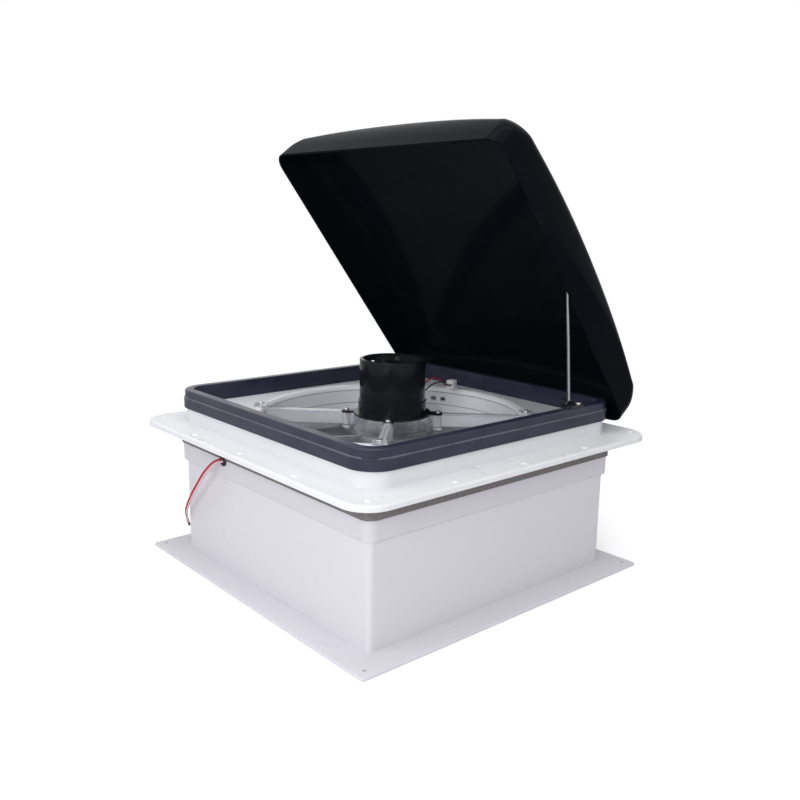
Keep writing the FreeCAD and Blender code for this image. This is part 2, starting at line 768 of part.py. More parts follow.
def lid_form(inset, bottom):
    """Closed lid's outline, smaller all round by the inset: skirt, bowed shoulder and domed crown."""
    half = lid_half - inset
    corner = lid_corner - inset
    corner_growth = lid_top_corner - lid_corner
    skirt_top = lid_base + lid_skirt - inset
    crown = lid_base + lid_height - inset
    skirt = square_block(half, corner, bottom, skirt_top)
    sections = []
    for step in range(lid_shoulder_steps + 1):
        turn = math.radians(90 * step / lid_shoulder_steps)
        share = 1 - math.cos(turn)
        level = skirt_top + lid_shoulder * math.sin(turn)
        sections.append(rounded_square(half - lid_shoulder_in * share, corner + corner_growth * share, level))
    shoulder = Part.makeLoft(sections, True, False)
    shoulder_top = skirt_top + lid_shoulder
    crown_block = square_block(half - lid_shoulder_in, corner + corner_growth, shoulder_top, crown + 1)
    body = skirt.fuse([shoulder, crown_block])
    ball_r = (lid_half * lid_half + lid_dome * lid_dome) / (2 * lid_dome)
    body = body.common(Part.makeSphere(ball_r, Vec(0, 0, crown - ball_r)))
    crown_faces = [face for face in body.Faces if face.Surface.TypeId == "Part::GeomSphere"]
    return body.makeFillet(lid_edge_round - inset, crown_faces[0].OuterWire.Edges)


def lid_shell():
    """Domed lid, open below, turned open."""
    outer = lid_form(0.0, lid_base)
    inner = lid_form(lid_wall, lid_base - 1)
    return lid_turn(outer.cut(inner))


def hinge_places():
    """Middles of the two hinges along X."""
    return (-hinge_spacing / 2, hinge_spacing / 2)


def hinge_leaves():
    """Leaves on the back of the lid, each with its knuckle, turned open with the lid."""
    leaves = []
    for middle in hinge_places():
        left = middle - knuckle_width / 2
        right = middle + knuckle_width / 2
        knuckle = rod_along_x(knuckle_r, left, right, hinge_y, hinge_z)
        plate = box(left, right, lid_half, lid_half + leaf_thick, hinge_z, lid_base + leaf_height)
        leaf = knuckle.fuse(plate)
        leaf = leaf.cut(rod_along_x(hinge_pin_r + hinge_play, left - 1, right + 1, hinge_y, hinge_z))
        leaves.append(lid_turn(leaf.removeSplitter()))
    return Part.makeCompound(leaves)


def hinge_brackets():
    """Two brackets on the roof flange, each with two ears round the lid's knuckle."""
    brackets = []
    for middle in hinge_places():
        inner = knuckle_width / 2 + hinge_side_gap
        outer = inner + ear_width
        front = collar_half + deck_gap
        base = box(middle - outer, middle + outer, front, front + bracket_base_depth, flange_top,
                   flange_top + bracket_base_thick)
        ears = []
        for sign in (-1, 1):
            left, right = sorted((middle + sign * inner, middle + sign * outer))
            eye = rod_along_x(knuckle_r, left, right, hinge_y, hinge_z)
            web = box(left, right, hinge_y - knuckle_r, hinge_y + knuckle_r, flange_top, hinge_z)
            ears.append(eye.fuse(web))
        body = base.fuse(ears)
        room = knuckle_r + knuckle_room
        channel = box(middle - inner, middle + inner, hinge_y - room, hinge_y + room, hinge_z - room,
                      hinge_z + knuckle_r + 1)
        body = body.cut(channel)
        body = body.cut(rod_along_x(hinge_pin_r, middle - outer - 1, middle + outer + 1, hinge_y, hinge_z))
        brackets.append(body.removeSplitter())
    return Part.makeCompound(brackets)


def hinge_pins():
    """Pins fixed in the brackets' ears."""
    pins = []
    for middle in hinge_places():
        outer = knuckle_width / 2 + hinge_side_gap + ear_width + pin_overhang
        pins.append(rod_along_x(hinge_pin_r, middle - outer, middle + outer, hinge_y, hinge_z))
    return Part.makeCompound(pins)


def rod_tip(angle):
    """Centre of the stay rod's tip, in Y and Z, at one angle of the rod."""
    turn = math.radians(angle)
    return rod_foot_y + rod_length * math.cos(turn), rod_foot_z + rod_length * math.sin(turn)


def stay_rod():
    """Steel rod with its foot bent in towards the fan and its tip bent out to the rail."""
    tip_y, tip_z = rod_tip(90)
    foot = Vec(rod_x - foot_pin_length, rod_foot_y, rod_foot_z)
    bend_a = Vec(rod_x - rod_bend_r, rod_foot_y, rod_foot_z)
    bend_b = Vec(rod_x, rod_foot_y, rod_foot_z + rod_bend_r)
    bow = rod_bend_r * (1 - math.sqrt(0.5))
    middle_low = Vec(rod_x - bow, rod_foot_y, rod_foot_z + bow)
    bend_c = Vec(rod_x, tip_y, tip_z - rod_bend_r)
    bend_d = Vec(rod_x + rod_bend_r, tip_y, tip_z)
    middle_high = Vec(rod_x + bow, tip_y, tip_z - bow)
    tip = Vec(rod_x + tip_pin_length, tip_y, tip_z)
    path = Part.Wire([
        Part.LineSegment(foot, bend_a).toShape(),
        Part.Arc(bend_a, middle_low, bend_b).toShape(),
        Part.LineSegment(bend_b, bend_c).toShape(),
        Part.Arc(bend_c, middle_high, bend_d).toShape(),
        Part.LineSegment(bend_d, tip).toShape(),
    ])
    ring = Part.Wire([Part.Circle(foot, Vec(1, 0, 0), rod_r).toShape()])
    body = path.makePipeShell([ring], True, False)
    return turned(body, rod_rest_angle - 90, Vec(0, rod_foot_y, rod_foot_z), Vec(1, 0, 0))


def stay_bracket():
    """Block on the rim with one ear for the rod's foot and a seat for its screw."""
    front = rod_foot_y - stay_block_front
    back = rod_foot_y + stay_block_back
    floor = rim_top + stay_base_thick
    top = rod_foot_z + rod_r + stay_eye_wall
    ear_left = rod_x - rod_bend_r - rod_side_gap - stay_ear_thick
    ear_right = ear_left + stay_ear_thick
    strip_left = rod_x + rod_r + rod_side_gap
    swing_room = rod_foot_y + rod_r + stay_swing_room
    ear = box(ear_left, ear_right, rod_foot_y - stay_ear_half, rod_foot_y + stay_ear_half, rim_top, top)
    base = box(ear_left, stay_block_outer, swing_room, back, rim_top, floor)
    bridge = box(ear_left, ear_right, rod_foot_y, back, rim_top, floor)
    strip = box(strip_left, stay_block_outer, front, back, rim_top, floor)
    body = fuse_all([ear, base, bridge, strip])
    body = body.cut(rod_along_x(rod_r + rod_play, ear_left - 1, ear_right + 1, rod_foot_y, rod_foot_z))
    x, y = stay_screw_place()
    return body.cut(rod_z(small_screw_r, rim_top - 1, top + 1, x, y)).removeSplitter()


def stay_screw_place():
    """Place of the stay bracket's screw."""
    return rod_x + stay_screw_in, rod_foot_y + stay_block_back - stay_screw_in


def stay_screw():
    """Screw that holds the stay bracket to the rim."""
    x, y = stay_screw_place()
    return screw(x, y, rim_top + stay_base_thick, stay_screw_length, small_screw_r, small_head_r, small_head)


def tip_track():
    """Places of the rod's tip seen from the closed lid, from open to shut."""
    places = []
    swing = rod_closed_angle - rod_rest_angle
    for step in range(rail_steps + 1):
        share = step / rail_steps
        tip_y, tip_z = rod_tip(rod_rest_angle + swing * share)
        back = math.radians(lid_open_angle * (1 - share))
        dy = tip_y - hinge_y
        dz = tip_z - hinge_z
        y = hinge_y + dy * math.cos(back) - dz * math.sin(back)
        z = hinge_z + dy * math.sin(back) + dz * math.cos(back)
        places.append((y, z))
    return places


def guide_rail():
    """Slotted rail inside the lid's right skirt, in which the rod's tip slides."""
    track = tip_track()
    slot_r = rod_r + rail_slot_play
    low_y = min(y for y, z in track) - slot_r - rail_margin
    high_y = max(y for y, z in track) + slot_r + rail_margin
    low_z = min(z for y, z in track) - slot_r - rail_margin * 0.6
    high_z = max(z for y, z in track) + slot_r + rail_margin
    plate = box(rail_x, rail_x + rail_thick, low_y, high_y, low_z, high_z)
    wall = lid_half - lid_wall
    tabs = []
    for y in (low_y, high_y - rail_thick):
        tabs.append(box(rail_x, wall, y, y + rail_thick, low_z, high_z))
    pads = []
    for y in (low_y - rail_tab_length, high_y - rail_thick):
        pads.append(box(wall - rail_pad_reach, wall, y, y + rail_tab_length + rail_thick, low_z, high_z))
    body = fuse_all([plate] + tabs + pads).common(lid_form(lid_wall, lid_base - 1))
    cutters = [rod_along_x(slot_r, rail_x - 1, rail_x + rail_thick + 1, y, z) for y, z in track]
    for (y0, z0), (y1, z1) in zip(track, track[1:]):
        run = math.hypot(y1 - y0, z1 - z0)
        if run > 0.05:
            bar = box(rail_x - 1, rail_x + rail_thick + 1, 0, run, -slot_r, slot_r)
            bar = turned(bar, math.degrees(math.atan2(z1 - z0, y1 - y0)), Vec(0, 0, 0), Vec(1, 0, 0))
            bar.translate(Vec(0, y0, z0))
            cutters.append(bar)
    return lid_turn(body.cut(cutters).removeSplitter())


def grommet():
    """Rubber grommet in the neck, with two holes for the supply wires."""
    start = Vec(grommet_x, -neck_half - grommet_lip, grommet_z)
    lip = Part.makeCylinder(grommet_lip_r, grommet_lip, start, Vec(0, 1, 0))
    body = Part.makeCylinder(grommet_r, grommet_lip + neck_wall, start, Vec(0, 1, 0))
    both = lip.fuse(body)
    return both.removeSplitter()


def tangent_path(points):
    """Straight runs joined by the largest arcs that fit, as a wire, with its length and radii."""
    corners = [Vec(*p) for p in points]
    edges = []
    radii = []
    here = corners[0]
    for before, point, after in zip(corners, corners[1:], corners[2:]):
        into = (point - before)
        out = (after - point)
        shorter = min(into.Length, out.Length)
        into.normalize()
        out.normalize()
        half_turn = math.acos(max(-1.0, min(1.0, into.dot(out)))) / 2
        cut_back = 0.45 * shorter
        radius = cut_back / math.tan(half_turn)
        start = point - into * cut_back
        end = point + out * cut_back
        towards = (out - into)
        towards.normalize()
        middle = point + towards * (radius / math.cos(half_turn) - radius)
        edges.append(Part.LineSegment(here, start).toShape())
        edges.append(Part.Arc(start, middle, end).toShape())
        radii.append(round(radius, 1))
        here = end
    edges.append(Part.LineSegment(here, corners[-1]).toShape())
    return Part.Wire(edges), radii


def wire_tube(name, points, radius):
    """Round wire along a route; prints its radii and compares its volume."""
    path, radii = tangent_path(points)
    heading = Vec(*points[1]) - Vec(*points[0])
    ring = Part.Wire([Part.Circle(Vec(*points[0]), heading, radius).toShape()])
    tube = path.makePipeShell([ring], True, False)
    expected = math.pi * radius * radius * path.Length
    share = round(tube.Volume / expected, 4)
    print(name, "length", round(path.Length, 1), "radii", radii, "volume share", share)
    return tube


def supply_points(index):
    """Route of one supply wire: red as written, white beside it."""
    shift = supply_offset * math.sqrt(0.5) * index
    return [(x + shift, y, z - shift) for x, y, z in supply_route]


def lead_tip(index):
    """Dark sleeve on the end of a supply wire."""
    route = supply_points(index)
    last = Vec(*route[-1])
    heading = last - Vec(*route[-2])
    heading.normalize()
    sleeve = Part.makeCylinder(tip_r, tip_length, last, heading)
    far = last + heading * tip_length
    end_edges = [e for e in sleeve.Edges if e.Closed and (e.CenterOfMass - far).Length < 0.1]
    return sleeve.makeFillet(tip_round, end_edges)


def plug_spot():
    """Middle of the white plug on the shroud's lip."""
    return polar(plug_line, plug_angle)


def wire_plug():
    """White plug housing on the shroud's flange, two pieces high."""
    spot = plug_spot()
    half = plug_size / 2
    bottom = lip_top + foot_thick
    body = box(-half, half, -half, half, bottom, bottom + plug_height)
    uprights = edges_at(body, lambda b: b.ZLength > plug_height / 2)
    body = body.makeFillet(plug_round, uprights)
    base = box(-half - plug_base_out, half + plug_base_in, -half, half, lip_top, bottom)
    body = body.fuse(base)
    for sign in (-1, 1):
        hole_floor = bottom + plug_height - plug_hole_depth
        hole_r = lead_r + plug_hole_play
        body = body.cut(rod_z(hole_r, hole_floor, bottom + plug_height + 1, 0, sign * lead_pitch / 2))
    body = turned(body, plug_angle)
    body.translate(spot)
    return body.removeSplitter()


def motor_lead_points(sign):
    """Route of one motor lead, from the case to the plug."""
    spot = plug_spot()
    inward = polar(1.0, plug_angle)
    side = polar(1.0, plug_angle + 90)
    beside = side * (sign * lead_pitch / 2)
    start = inward * housing_r + beside + Vec(0, 0, lead_level)
    face = plug_line - plug_size / 2
    height = lip_top + foot_thick + plug_height * 0.45
    end = inward * face + beside + Vec(0, 0, height)
    crest = lead_crest + lead_crest_step * sign
    points = [start]
    for share, lift in ((0.1, 0.02), (0.25, 0.35), (0.42, 0.85), (0.6, 1.0), (0.78, 0.7)):
        base = start + (end - start) * share
        points.append(base + Vec(0, 0, crest * lift))
    points.append(end - inward * lead_end_run)
    points.append(end)
    return [tuple(p) for p in points]


def main():
    os.makedirs(OUT, exist_ok=True)
    save("ceiling_trim", ceiling_trim())
    save("roof_base", roof_base())
    save("foam_seal", foam_seal())
    save("rim_frame", rim_frame())
    save("fan_deck", fan_deck())
    save("shroud_ring", shroud_ring())
    save("motor_spider", motor_spider())
    save("spider_screws", spider_screws())
    save("motor_screws", motor_screws())
    save("motor_housing", motor_housing())
    save("motor_can", motor_can())
    save("can_screws", can_screws())
    save("lower_bearing", bearing(motor_flange_top))
    save("upper_bearing", bearing(plate_bottom - bearing_width))
    save("stator_magnets", stator_magnets())
    save("motor_brushes", motor_brushes())
    save("armature", armature())
    save("commutator", commutator())
    save("motor_shaft", motor_shaft())
    save("impeller", impeller())
    save("shaft_nut", shaft_nut())
    save("lid_shell", lid_shell())
    save("hinge_leaves", hinge_leaves())
    save("hinge_brackets", hinge_brackets())
    save("hinge_pins", hinge_pins())
    save("stay_rod", stay_rod())
    save("stay_bracket", stay_bracket())
    save("stay_screw", stay_screw())
    save("guide_rail", guide_rail())
    save("wire_plug", wire_plug())
    save("motor_lead_red", wire_tube("motor_lead_red", motor_lead_points(1), lead_r))
    save("motor_lead_black", wire_tube("motor_lead_black", motor_lead_points(-1), lead_r))
    save("grommet", grommet())
    save("supply_lead_red", wire_tube("supply_lead_red", supply_points(0), supply_r))
    save("supply_lead_white", wire_tube("supply_lead_white", supply_points(1), supply_r))
    save("lead_tip_red", lead_tip(0))
    save("lead_tip_white", lead_tip(1))
    print("tip track", [(round(y, 1), round(z - lid_base, 1)) for y, z in tip_track()])
    print("coupling ratio", (rod_closed_angle - rod_rest_angle) / lid_open_angle)


main()
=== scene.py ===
import bpy
import json
import math
from mathutils import Matrix, Vector


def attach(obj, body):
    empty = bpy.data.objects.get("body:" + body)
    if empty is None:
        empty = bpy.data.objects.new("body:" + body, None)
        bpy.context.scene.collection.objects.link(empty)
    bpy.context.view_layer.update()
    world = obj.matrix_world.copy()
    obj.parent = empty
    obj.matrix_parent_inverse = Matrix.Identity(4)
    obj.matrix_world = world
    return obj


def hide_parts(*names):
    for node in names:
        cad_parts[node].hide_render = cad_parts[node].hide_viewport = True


# Looks of a roof vent exhaust fan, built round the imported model. Metres, +Z up.
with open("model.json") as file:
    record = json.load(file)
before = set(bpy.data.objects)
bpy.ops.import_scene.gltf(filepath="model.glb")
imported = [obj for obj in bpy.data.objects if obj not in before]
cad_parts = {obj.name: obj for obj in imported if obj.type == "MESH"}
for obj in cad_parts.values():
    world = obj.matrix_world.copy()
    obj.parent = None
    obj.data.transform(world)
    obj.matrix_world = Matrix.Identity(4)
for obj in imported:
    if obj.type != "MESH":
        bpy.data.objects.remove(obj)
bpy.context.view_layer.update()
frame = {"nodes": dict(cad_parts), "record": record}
NODES = frame["nodes"]

# Camera, fitted to the photograph's edges
CAMERA_PLACE = (0.73773, -0.63160, 0.40071)
CAMERA_AZIMUTH = 48.90
CAMERA_ELEVATION = 12.144
CAMERA_ROLL = 0.904
CAMERA_LENS = 38.385
SENSOR_WIDTH = 36.0
NEAREST_SEEN = 0.01

MM = 0.001

# Levels and places of the object that the finishes need
# Level of the rim's step, its half size, and the half width of the highlight line painted along it
RIM_STEP_Z = 190.8 * MM
RIM_STEP_HALF = 178.0 * MM
RIM_LINE_HALF = 1.0 * MM
FLANGE_UNDER_Z = 155.0 * MM
# The lid's crown: centre of its ball, the ball's pole, and how far the wrong normal there reaches
LID_BALL_CENTRE = (0.0, -618.01 * MM, -208.20 * MM)
LID_TOP = (0.0, 137.31 * MM, 367.20 * MM)
LID_TOP_REACH = 24.0 * MM
# Radii between which the spider turns from its clear cup to its arms
HUB_EDGE = (46.0 * MM, 49.0 * MM)
# Painted shade lines along the edges of the clear pieces, where they show dark: level and half
# width of each
SHROUD_SHADE_LINES = ((184.6 * MM, 0.5 * MM), (174.0 * MM, 0.6 * MM), (157.5 * MM, 0.6 * MM))
ARM_SHADE_LINES = ((161.4 * MM, 0.9 * MM), (175.9 * MM, 0.5 * MM))

# Stage: the floor glows for the camera only, and turns white between the two distances
FLOOR_SIZE = 40.0
FLOOR_DROP = 0.5 * MM
FLOOR_COLOUR = (0.85, 0.85, 0.86, 1.0)
FLOOR_GLOW = 0.42
FLOOR_FADE = (0.45, 1.0)

# World light that falls on matt surfaces, and that is seen directly, in gloss or through glass
MATT_LIGHT = 0.30
SEEN_LIGHT = 1.0

# Lamps: name, place, the point it faces, side of its square, watts
LAMPS = (
    ("key", (-0.9, -2.2, 1.9), (0.0, 0.0, 0.15), 1.8, 15.0),
    ("top", (0.2, -0.2, 2.6), (0.0, 0.0, 0.15), 2.2, 33.0),
    ("front", (0.80, -1.25, 0.70), (0.1, -0.1, 0.12), 0.5, 8.0),
    ("side", (2.6, -0.4, 1.4), (0.0, 0.0, 0.15), 1.6, 10.0),
)


def make_camera():
    """Camera at the photograph's angle."""
    azimuth = math.radians(CAMERA_AZIMUTH)
    elevation = math.radians(CAMERA_ELEVATION)
    roll = math.radians(CAMERA_ROLL)
    level = math.cos(elevation)
    back = Vector((math.sin(azimuth) * level, -math.cos(azimuth) * level, math.sin(elevation)))
    right = (-back).cross(Vector((0, 0, 1))).normalized()
    up = right.cross(-back)
    side = right * math.cos(roll) + up * math.sin(roll)
    top = -right * math.sin(roll) + up * math.cos(roll)
    data = bpy.data.cameras.new("camera")
    data.lens = CAMERA_LENS
    data.sensor_width = SENSOR_WIDTH
    data.clip_start = NEAREST_SEEN
    camera = bpy.data.objects.new("camera", data)
    bpy.context.collection.objects.link(camera)
    turn = Matrix((side, top, back)).transposed().to_4x4()
    camera.matrix_world = Matrix.Translation(CAMERA_PLACE) @ turn
    bpy.context.scene.camera = camera


class Finish:
    """A node material built up step by step round one Principled shader."""

    def __init__(self, name, colour, roughness, specular=0.5, metallic=0.0):
        self.mat = bpy.data.materials.new(name)
        self.mat.use_nodes = True
        self.tree = self.mat.node_tree
        self.shader = self.tree.nodes["Principled BSDF"]
        self.shader.inputs["Base Color"].default_value = (*colour, 1.0)
        self.shader.inputs["Roughness"].default_value = roughness
        self.shader.inputs["Specular IOR Level"].default_value = specular
        self.shader.inputs["Metallic"].default_value = metallic
        self.coords = self.tree.nodes.new("ShaderNodeTexCoord").outputs["Object"]
        self.normal = None

    def node(self, kind, **values):
        """New node with its settings."""
        new = self.tree.nodes.new(kind)
        for key, value in values.items():
            setattr(new, key, value)
        return new

    def link(self, source, target):
        """Join an output to an input."""
        self.tree.links.new(source, target)

    def noise(self, scale, detail=3.0, roughness=0.55, stretch=None):
        """Noise over the object's own coordinates; stretch scales each axis."""
        source = self.coords
        if stretch:
            mapping = self.node("ShaderNodeMapping")
            mapping.inputs["Scale"].default_value = stretch
            self.link(source, mapping.inputs["Vector"])
            source = mapping.outputs["Vector"]
        texture = self.node("ShaderNodeTexNoise")
        texture.inputs["Scale"].default_value = scale
        texture.inputs["Detail"].default_value = detail
        texture.inputs["Roughness"].default_value = roughness
        self.link(source, texture.inputs["Vector"])
        return texture.outputs["Fac"]

    def ramp(self, source, low, high, out_low=0.0, out_high=1.0):
        """Spread a value from one range to another, held at the ends."""
        spread = self.node("ShaderNodeMapRange")
        spread.inputs["From Min"].default_value = low
        spread.inputs["From Max"].default_value = high
        spread.inputs["To Min"].default_value = out_low
        spread.inputs["To Max"].default_value = out_high
        self.link(source, spread.inputs["Value"])
        return spread.outputs["Result"]

    def math(self, operation, first, second=0.0):
        """Sum, product or other operation of one or two values."""
        step = self.node("ShaderNodeMath", operation=operation)
        for index, value in enumerate((first, second)):
            if isinstance(value, (int, float)):
                step.inputs[index].default_value = value
            else:
                self.link(value, step.inputs[index])
        return step.outputs["Value"]

    def tint(self, factor, colour):
        """Blend the base colour towards another where factor is high."""
        mix = self.node("ShaderNodeMix", data_type="RGBA")
        base = self.shader.inputs["Base Color"]
        if base.is_linked:
            self.link(base.links[0].from_socket, mix.inputs["A"])
        else:
            mix.inputs["A"].default_value = base.default_value
        mix.inputs["B"].default_value = (*colour, 1.0)
        self.link(factor, mix.inputs["Factor"])
        self.link(mix.outputs["Result"], base)
        return self

    def rough(self, source, low, high, out_low, out_high):
        """Roughness that varies between two values."""
        self.link(self.ramp(source, low, high, out_low, out_high), self.shader.inputs["Roughness"])
        return self

    def bump(self, source, strength, distance):
        """Add a layer of relief."""
        layer = self.node("ShaderNodeBump")
        layer.inputs["Strength"].default_value = strength
        layer.inputs["Distance"].default_value = distance
        self.link(source, layer.inputs["Height"])
        if self.normal is not None:
            self.link(self.normal, layer.inputs["Normal"])
        self.normal = layer.outputs["Normal"]
        self.link(self.normal, self.shader.inputs["Normal"])
        return self

    def vector(self, operation, first, second=(0.0, 0.0, 0.0)):
        """Vector node for the sum, difference or other operation of two vectors."""
        step = self.node("ShaderNodeVectorMath", operation=operation)
        for index, value in enumerate((first, second)):
            if isinstance(value, tuple):
                step.inputs[index].default_value = value
            else:
                self.link(value, step.inputs[index])
        return step

    def turned_normal(self, source, space, other):
        """A normal taken from one space to another."""
        step = self.node("ShaderNodeVectorTransform", vector_type="NORMAL", convert_from=space,
                         convert_to=other)
        self.link(source, step.inputs["Vector"])
        return step.outputs["Vector"]

    def ball_normal(self, centre, spot, reach):
        """Exact normal of a ball-shaped surface near one spot, the mesh's own further off."""
        ray = self.vector("SUBTRACT", self.coords, centre).outputs["Vector"]
        unit = self.vector("NORMALIZE", ray).outputs["Vector"]
        surface = self.node("ShaderNodeNewGeometry")
        flat = self.turned_normal(surface.outputs["True Normal"], "WORLD", "OBJECT")
        along = self.vector("DOT_PRODUCT", flat, unit).outputs["Value"]
        facing = self.vector("SCALE", unit)
        self.link(self.math("SIGN", along), facing.inputs["Scale"])
        exact = self.turned_normal(facing.outputs["Vector"], "OBJECT", "WORLD")
        away = self.vector("DISTANCE", self.coords, spot).outputs["Value"]
        mix = self.node("ShaderNodeMix", data_type="VECTOR")
        self.link(self.ramp(away, reach, 1.25 * reach, 1.0, 0.0), mix.inputs["Factor"])
        self.link(surface.outputs["Normal"], mix.inputs["A"])
        self.link(exact, mix.inputs["B"])
        self.normal = mix.outputs["Result"]
        self.link(self.normal, self.shader.inputs["Normal"])
        return self

    def axis(self, name):
        """One coordinate of the object."""
        split = self.node("ShaderNodeSeparateXYZ")
        self.link(self.coords, split.inputs["Vector"])
        return split.outputs[name]

    def off_level(self, level):
        """Distance above or below one level."""
        return self.math("ABSOLUTE", self.math("SUBTRACT", self.axis("Z"), level))


def darker(colour, share):
    """The colour at a share of its brightness."""
    return tuple(share * part for part in colour)


def white_moulding(name, colour, flange_shade=None):
    """Pale moulded plastic with slight clouding; flange_shade is the colour of painted shade under
    the flange.
    """
    finish = Finish(name, colour, 0.32, specular=0.08)
    if flange_shade:
        # Painted shade: below the flange the moulding turns to a darker colour, for the flange's
        # shadow
        flange_shade_mask = finish.ramp(finish.axis("Z"), FLANGE_UNDER_Z, FLANGE_UNDER_Z + MM, 1.0, 0.0)
        finish.tint(flange_shade_mask, flange_shade)
    clouds = finish.ramp(finish.noise(scale=9.0, detail=4.0), 0.35, 0.75, out_high=0.08)
    finish.tint(clouds, (0.62, 0.62, 0.66))
    finish.rough(finish.noise(scale=35.0), 0.3, 0.7, 0.26, 0.38)
    return finish.mat


def rim_moulding():
    """Dark blue-grey moulding, half glossy, with a painted highlight line along its step and a few
    dust specks.
    """
    finish = Finish("rim_plastic", (0.021, 0.024, 0.046), 0.32, specular=0.3)
    streaks = finish.noise(scale=26.0, detail=4.0, roughness=0.6, stretch=(1.0, 1.0, 2.5))
    finish.tint(finish.ramp(streaks, 0.40, 0.80, out_high=0.25), (0.09, 0.095, 0.13))
    out_x = finish.math("ABSOLUTE", finish.axis("X"))
    out_y = finish.math("ABSOLUTE", finish.axis("Y"))
    outside = finish.math("GREATER_THAN", finish.math("MAXIMUM", out_x, out_y), RIM_STEP_HALF)
    # Painted highlight: a lighter line along the outer edge of the step, where the edge catches
    # the light
    on_line = finish.ramp(finish.off_level(RIM_STEP_Z), 0.0, RIM_LINE_HALF, 1.0, 0.0)
    near_step = finish.math("MULTIPLY", on_line, outside)
    patchy = finish.ramp(finish.noise(scale=30.0, detail=4.0), 0.30, 0.55, 0.5, 1.0)
    step_highlight = finish.math("MULTIPLY", finish.math("MULTIPLY", near_step, patchy), 0.5)
    finish.tint(step_highlight, (0.30, 0.31, 0.35))
    specks = finish.ramp(finish.noise(scale=520.0, detail=2.0), 0.70, 0.78, out_high=0.5)
    finish.tint(specks, (0.22, 0.23, 0.26))
    finish.rough(streaks, 0.3, 0.8, 0.26, 0.42)
    return finish.mat


def lid_gloss():
    """Polished black plastic, with faint dust and long soft waves.

    The crown is part of a ball, and its mesh has one wrong normal at the ball's pole.
    """
    finish = Finish("lid_gloss", (0.0040, 0.0052, 0.0080), 0.06, specular=0.012)
    finish.ball_normal(LID_BALL_CENTRE, LID_TOP, LID_TOP_REACH)
    dust = finish.noise(scale=30.0, detail=6.0, roughness=0.7)
    finish.tint(finish.ramp(dust, 0.5, 0.85, out_high=0.10), (0.030, 0.033, 0.040))
    finish.rough(finish.noise(scale=14.0, detail=4.0), 0.35, 0.75, 0.05, 0.12)
    finish.bump(finish.noise(scale=11.0, detail=1.0), strength=0.08, distance=3.0 * MM)
    return finish.mat


def clear_plastic(name, colour, roughness, transmission, cover, lines=(), hub=None):
    """Clear moulded plastic.

    cover is how much it hides, lines are lines of painted shade along its edges, it is darkened
    with painted shade where seen edge-on, and inside the radii of hub it is clearer than further
    out.
    """
    finish = Finish(name, colour, roughness, specular=0.6)
    finish.shader.inputs["Transmission Weight"].default_value = transmission
    finish.shader.inputs["IOR"].default_value = 1.40
    finish.shader.inputs["Alpha"].default_value = cover
    cloudy = finish.ramp(finish.noise(scale=40.0), 0.4, 0.8, out_high=0.3)
    finish.tint(cloudy, darker(colour, 0.92))
    # Painted shade: the clear plastic is darkened where it is seen edge-on, for the dark rims that
    # clear walls show
    edge = finish.node("ShaderNodeLayerWeight").outputs["Facing"]
    finish.tint(finish.ramp(edge, 0.80, 0.97, out_high=0.75), (0.25, 0.26, 0.32))
    # Painted shade: thin dark lines at set levels along the edges of the clear pieces
    for level, half in lines:
        on_line = finish.ramp(finish.off_level(level), half * 0.6, half, 0.75, 0.0)
        finish.tint(on_line, (0.16, 0.17, 0.23))
    if hub:
        level = finish.vector("MULTIPLY", finish.coords, (1.0, 1.0, 0.0)).outputs["Vector"]
        out = finish.vector("DISTANCE", level).outputs["Value"]
        clear = finish.ramp(out, *hub, 0.97, transmission)
        finish.link(clear, finish.shader.inputs["Transmission Weight"])
        finish.link(finish.ramp(out, *hub, 0.55, cover), finish.shader.inputs["Alpha"])
    finish.rough(finish.noise(scale=70.0), 0.35, 0.75, roughness, roughness + 0.05)
    return finish.mat


def black_paint(name, colour, roughness):
    """Gloss black paint on the motor, with a little dust."""
    finish = Finish(name, colour, roughness, specular=0.12)
    dust = finish.noise(scale=160.0, detail=5.0, roughness=0.7)
    finish.tint(finish.ramp(dust, 0.56, 0.88, out_high=0.15), (0.05, 0.052, 0.06))
    finish.rough(finish.noise(scale=60.0), 0.35, 0.75, roughness, roughness * 1.3)
    return finish.mat


def metal(name, colour, roughness):
    """Bright plated or ground metal with a fine grain."""
    finish = Finish(name, colour, roughness, metallic=1.0)
    grain = finish.noise(scale=600.0)
    finish.rough(grain, 0.3, 0.7, roughness * 0.7, roughness * 1.4)
    stains = finish.ramp(finish.noise(scale=150.0), 0.4, 0.8, out_high=0.35)
    finish.tint(stains, darker(colour, 0.75))
    finish.bump(grain, strength=0.06, distance=0.1 * MM)
    return finish.mat


def dull(name, colour, other, scale, roughness, relief, relief_scale=None):
    """Dull surface, mottled between two colours, with fine relief: foam, rubber, wire cover."""
    finish = Finish(name, colour, roughness, specular=0.3)
    finish.tint(finish.ramp(finish.noise(scale, detail=4.0), 0.35, 0.75), other)
    rougher = min(1.0, roughness * 1.15)
    finish.rough(finish.noise(scale * 1.7), 0.3, 0.7, roughness * 0.85, rougher)
    finish.bump(finish.noise(relief_scale or scale * 3.0), strength=relief, distance=0.5 * MM)
    return finish.mat


